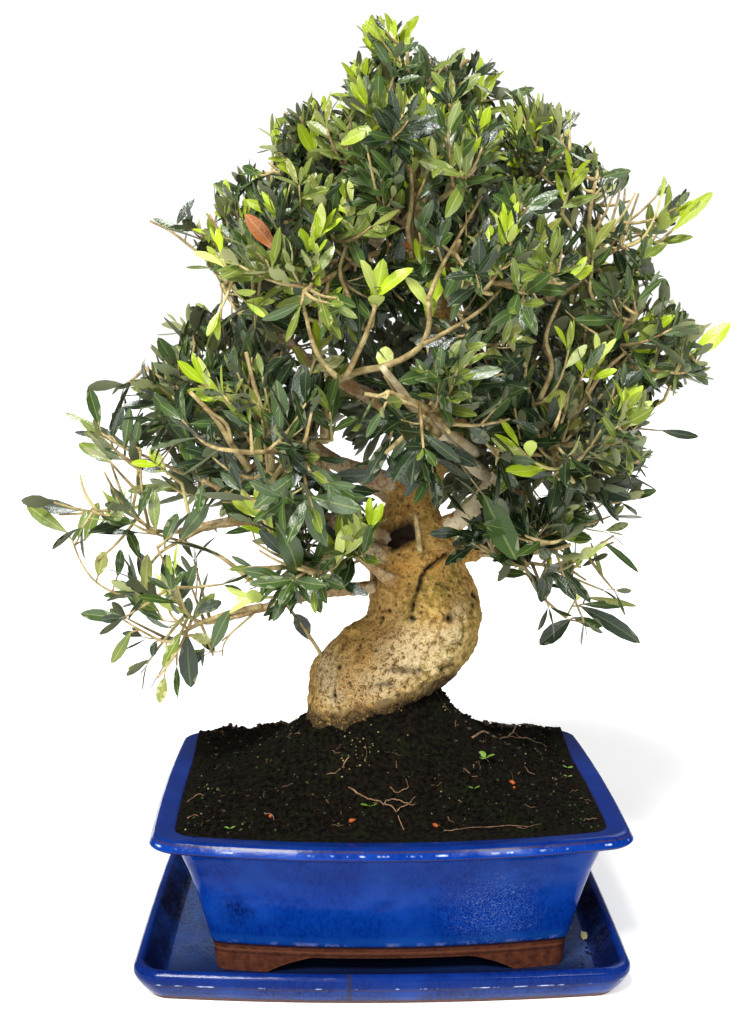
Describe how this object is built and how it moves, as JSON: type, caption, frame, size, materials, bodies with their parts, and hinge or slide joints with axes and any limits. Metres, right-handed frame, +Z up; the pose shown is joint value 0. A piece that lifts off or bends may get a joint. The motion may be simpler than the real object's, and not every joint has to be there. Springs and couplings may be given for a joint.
{
  "type": "olive bonsai",
  "caption": "Small potted olive tree with a thick curved trunk and a rounded crown of narrow leaves, in a blue glazed rectangular pot on its drip tray.",
  "frame": {"origin": "middle of the drip tray's flat underside", "axes": "+Z up; -Y towards the front of the plant, one long side of the pot; +X along the pot's long side, to the right as seen from the front"},
  "size_m": [0.5563, 0.4439, 0.7378],
  "materials": {
    "tray_glaze": "gloss",
    "blue_glaze": "gloss",
    "dark_soil": "matte",
    "ochre_bark": "matte",
    "bough_bark": "matte",
    "olive_leaf": "satin"
  },
  "bodies": {
    "root": {"tray": "tray_glaze", "pot": "blue_glaze", "soil": "dark_soil", "trunk": "ochre_bark", "leader": "bough_bark", "bough_upper_left": "bough_bark", "bough_upper_right": "bough_bark", "bough_front": "bough_bark", "bough_shoulder_right": "bough_bark", "bough_shoulder_left": "bough_bark", "bough_left": "bough_bark", "bough_low_left": "bough_bark", "bough_lowest_left": "bough_bark", "bough_near_left": "bough_bark", "bough_low_front": "bough_bark", "bough_right": "bough_bark", "bough_low_right": "bough_bark", "bough_pale_front": "bough_bark", "bough_hanging_right": "bough_bark", "bough_back": "bough_bark", "bough_back_right": "bough_bark", "bough_back_left": "bough_bark", "foliage_apex": "olive_leaf", "foliage_upper_back": "olive_leaf", "foliage_upper_left": "olive_leaf", "foliage_shoulder_left": "olive_leaf", "foliage_upper_right": "olive_leaf", "foliage_upper_front": "olive_leaf", "foliage_front_left": "olive_leaf", "foliage_front_right": "olive_leaf", "foliage_far_right": "olive_leaf", "foliage_side_right": "olive_leaf", "foliage_side_left": "olive_leaf", "foliage_far_left": "olive_leaf", "foliage_bottom_left": "olive_leaf", "foliage_low_front_left": "olive_leaf", "foliage_skirt_left": "olive_leaf", "foliage_front_centre": "olive_leaf", "foliage_low_front_right": "olive_leaf", "foliage_low_right": "olive_leaf", "foliage_skirt_right": "olive_leaf", "foliage_hanging_right": "olive_leaf", "foliage_back_left": "olive_leaf", "foliage_back_low_left": "olive_leaf", "foliage_back_centre": "olive_leaf", "foliage_back_right": "olive_leaf", "foliage_back_low_right": "olive_leaf"}
  },
  "joints": []
}
